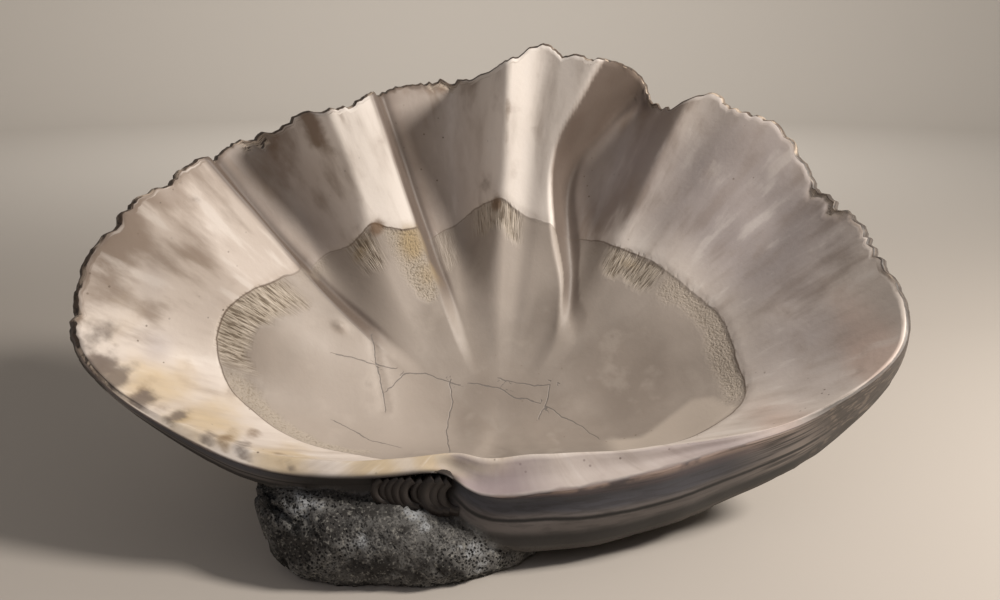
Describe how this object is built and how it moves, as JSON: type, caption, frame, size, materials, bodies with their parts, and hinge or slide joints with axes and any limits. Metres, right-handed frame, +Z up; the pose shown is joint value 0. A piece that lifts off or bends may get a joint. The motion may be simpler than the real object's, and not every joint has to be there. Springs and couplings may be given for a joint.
{
  "type": "giant clam half shell",
  "caption": "One valve of an old giant clam: a deep folded bowl lying hinge down, with inner ridges, a worn hinge plate, chipped margin and heavy umbo",
  "frame": {"origin": "on the surface it rests on, under the middle of its box", "axes": "+Z up; +X along the hinge, to the right as seen from the hinge side; -Y towards the hinge, +Y towards the free margin"},
  "size_m": [1.014, 0.5569, 0.5761],
  "materials": {
    "shell": "old satin porcelain shell, chalky where the mantle was fixed, charcoal and pitted outside"
  },
  "bodies": {
    "root": {"clam_valve": "shell"}
  },
  "joints": []
}
